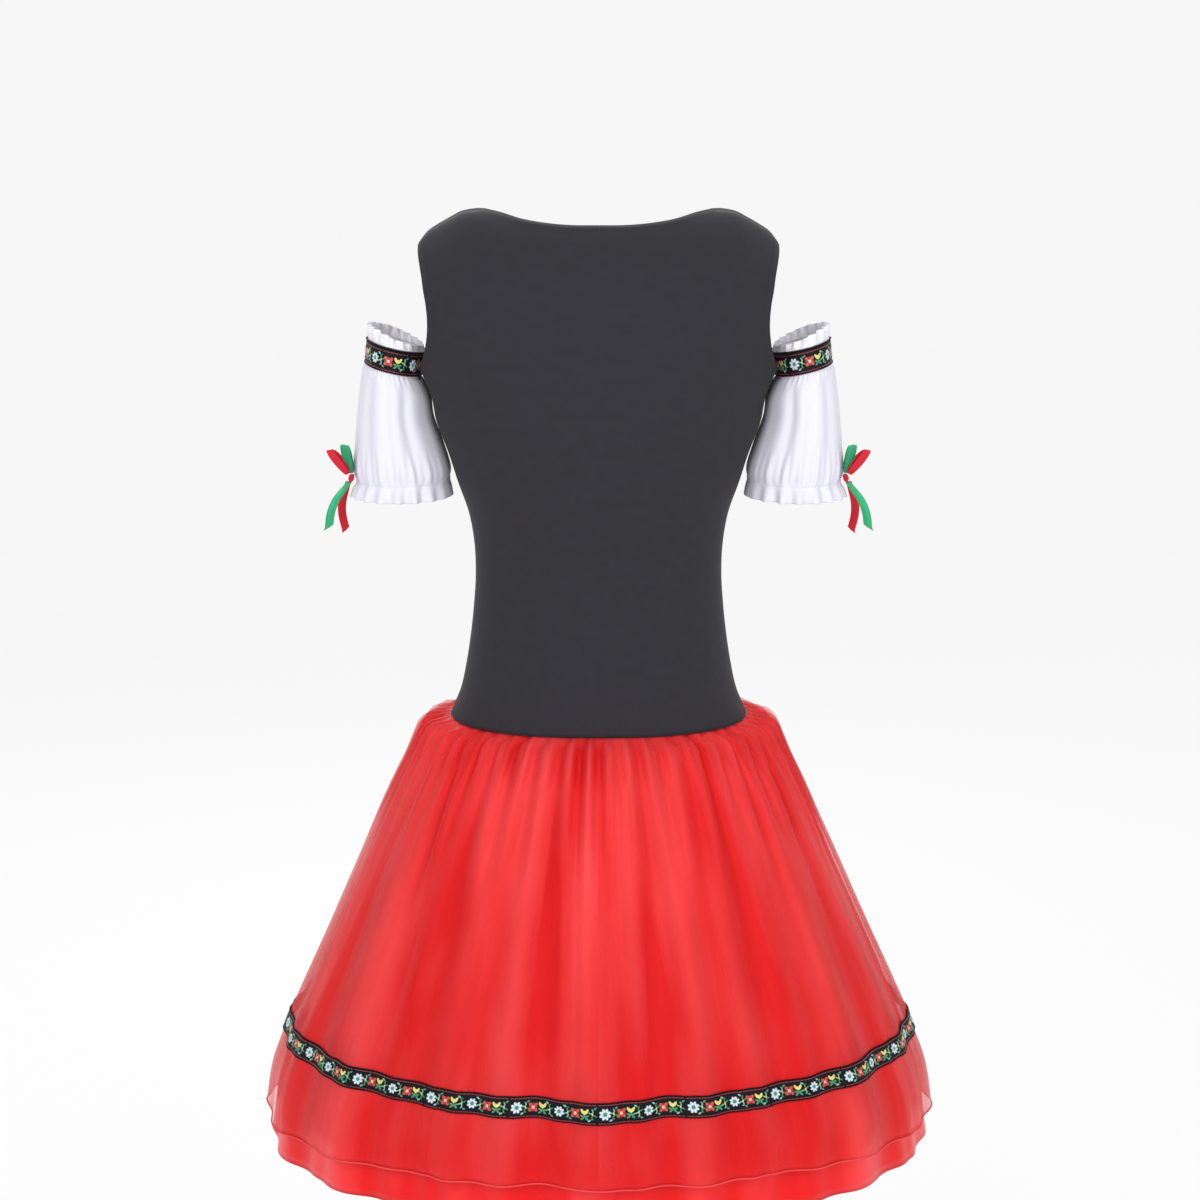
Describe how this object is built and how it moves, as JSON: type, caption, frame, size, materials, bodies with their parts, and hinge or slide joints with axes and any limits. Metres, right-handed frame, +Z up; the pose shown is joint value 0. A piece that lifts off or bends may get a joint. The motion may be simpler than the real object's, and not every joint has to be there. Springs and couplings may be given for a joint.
{
  "type": "dirndl",
  "caption": "Knee-length folk dress in its worn form: sleeveless knit bodice, satin skirt under a sheer gathered one, off-shoulder puff sleeves with ribbons and bows",
  "frame": {"origin": "midway between the shoulders, level with the neck ends of the shoulder seams", "axes": "+Z up, -Y towards the wearer's front, +X towards the wearer's left"},
  "size_m": [0.6351, 0.4634, 0.8677],
  "materials": {
    "knit": "matt stretch knit",
    "satin": "glossy satin",
    "organza": "sheer with glossy threads",
    "trim": "jacquard ribbon with flowers",
    "cotton": "matt plain weave",
    "lace": "fine net lace",
    "red_ribbon": "satin ribbon",
    "green_ribbon": "satin ribbon"
  },
  "bodies": {
    "root": {"bodice_back": "knit", "bodice_front": "knit", "underskirt": "satin", "overskirt": "organza", "skirt_ribbon": "trim", "sleeve_left": "cotton", "sleeve_frill_left": "lace", "sleeve_ribbon_left": "trim", "bow_knot_left": "red_ribbon", "bow_loop_red_back_left": "red_ribbon", "bow_loop_green_back_left": "green_ribbon", "bow_loop_red_front_left": "red_ribbon", "bow_loop_green_front_left": "green_ribbon", "bow_tail_green_left": "green_ribbon", "bow_tail_red_left": "red_ribbon", "sleeve_right": "cotton", "sleeve_frill_right": "lace", "sleeve_ribbon_right": "trim", "bow_knot_right": "red_ribbon", "bow_loop_red_back_right": "red_ribbon", "bow_loop_green_back_right": "green_ribbon", "bow_loop_red_front_right": "red_ribbon", "bow_loop_green_front_right": "green_ribbon", "bow_tail_green_right": "green_ribbon", "bow_tail_red_right": "red_ribbon"}
  },
  "joints": []
}
